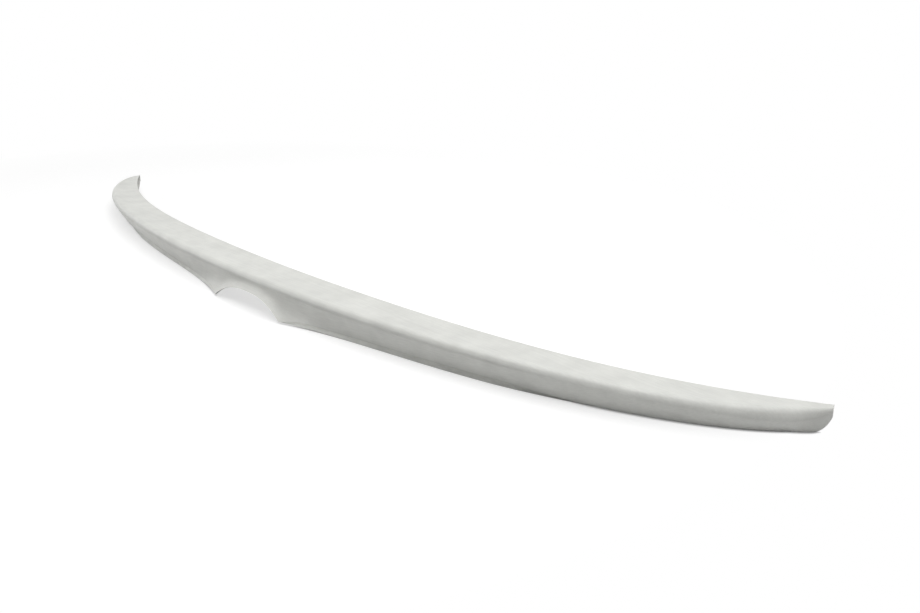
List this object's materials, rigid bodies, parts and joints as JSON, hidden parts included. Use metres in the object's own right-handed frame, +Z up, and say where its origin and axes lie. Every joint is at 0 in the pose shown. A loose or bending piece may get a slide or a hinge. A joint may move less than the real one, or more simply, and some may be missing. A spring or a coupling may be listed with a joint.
{
  "type": "car boot spoiler",
  "caption": "Low bow-shaped boot-lid spoiler: narrow top face, rolled trailing ridge, rear skirt and pointed centre tabs with an arch between, hollow underneath.",
  "frame": {"origin": "on the floor under the middle of the part's box, with the blade resting on the foot under its skirt", "axes": "+X across the car to the right, +Y towards the front of the car, so the skirt and tabs face -Y, and +Z up"},
  "size_m": [1.2274, 0.1962, 0.0386],
  "materials": {
    "primer": "matte"
  },
  "bodies": {
    "root": {"spoiler": "primer"}
  },
  "joints": []
}
